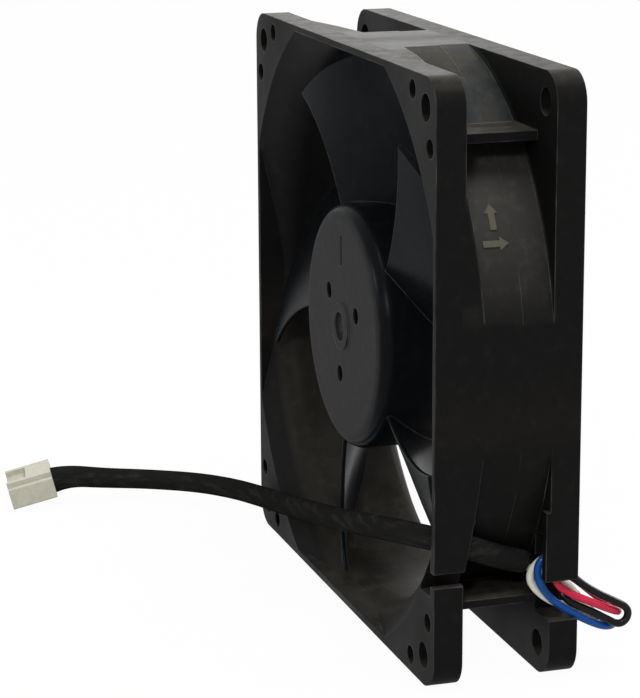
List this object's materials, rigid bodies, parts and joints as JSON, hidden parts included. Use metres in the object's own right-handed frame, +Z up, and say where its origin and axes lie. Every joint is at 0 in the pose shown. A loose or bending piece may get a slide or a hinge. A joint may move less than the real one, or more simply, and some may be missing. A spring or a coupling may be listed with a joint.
{
  "type": "axial cooling fan",
  "caption": "Square-framed axial cooling fan with a ducted impeller on a brushless motor, grooved wire strut, coloured leads in a black sleeve and a white plug.",
  "frame": {"origin": "middle of the frame's lower edge, at half its depth, without the free cable and plug", "axes": "+Z up, -Y out of the inlet side, +Y out of the strut side, +X to the right seen from the inlet"},
  "size_m": [0.1288, 0.0826, 0.1],
  "materials": {
    "frame_black": "moulded black glass-filled plastic, satin",
    "impeller_black": "moulded black plastic, satin",
    "bearing_steel": "ground steel",
    "shaft_steel": "ground steel",
    "cup_steel": "drawn steel",
    "lamination": "stacked electrical steel",
    "magnet": "bonded ferrite, matt dark",
    "brass": "turned",
    "insulator": "moulded off-white nylon",
    "enamel_wire": "enamelled copper winding",
    "board": "green solder mask",
    "solder": "solder",
    "chip": "moulded epoxy",
    "capacitor": "can",
    "lead_blue": "PVC insulation, blue",
    "lead_white": "PVC insulation, off-white",
    "lead_red": "PVC insulation, red",
    "lead_black": "PVC insulation, black",
    "sleeve_black": "soft PVC sleeve, black",
    "plug_white": "moulded off-white nylon",
    "contact_tin": "tin-plated contacts"
  },
  "bodies": {
    "frame": {"frame_housing": "frame_black", "bearing_tube": "brass", "front_bearing_outer_race": "bearing_steel", "rear_bearing_outer_race": "bearing_steel", "stator_core": "lamination", "front_insulator": "insulator", "rear_insulator": "insulator", "stator_coil_1": "enamel_wire", "stator_coil_2": "enamel_wire", "stator_coil_3": "enamel_wire", "stator_coil_4": "enamel_wire", "circuit_board": "board", "solder_joints": "solder", "driver_chip": "chip", "position_sensor": "chip", "capacitor": "capacitor", "lead_blue": "lead_blue", "lead_white": "lead_white", "lead_red": "lead_red", "lead_black": "lead_black", "cable_sleeve": "sleeve_black", "connector_housing": "plug_white", "connector_contacts": "contact_tin"},
    "rotor": {"impeller": "impeller_black", "rotor_cup": "cup_steel", "magnet_ring": "magnet", "shaft_bush": "brass", "shaft": "shaft_steel", "retaining_clip": "shaft_steel", "preload_spring": "shaft_steel", "front_bearing_inner_race": "bearing_steel", "rear_bearing_inner_race": "bearing_steel"},
    "bearing_cages": {"front_bearing_ball_cage": "bearing_steel", "rear_bearing_ball_cage": "bearing_steel"}
  },
  "joints": [
    {"name": "rotor_spin", "type": "hinge", "parent": "frame", "child": "rotor", "pos_m": [0, 0, 0.05], "axis": [0, -1, 0], "continuous": true},
    {"name": "ball_cage_spin", "type": "hinge", "parent": "frame", "child": "bearing_cages", "pos_m": [0, 0, 0.05], "axis": [0, -1, 0], "continuous": true}
  ],
  "couplings": [
    {"joint": "ball_cage_spin", "follows": "rotor_spin", "ratio": 0.3763}
  ]
}
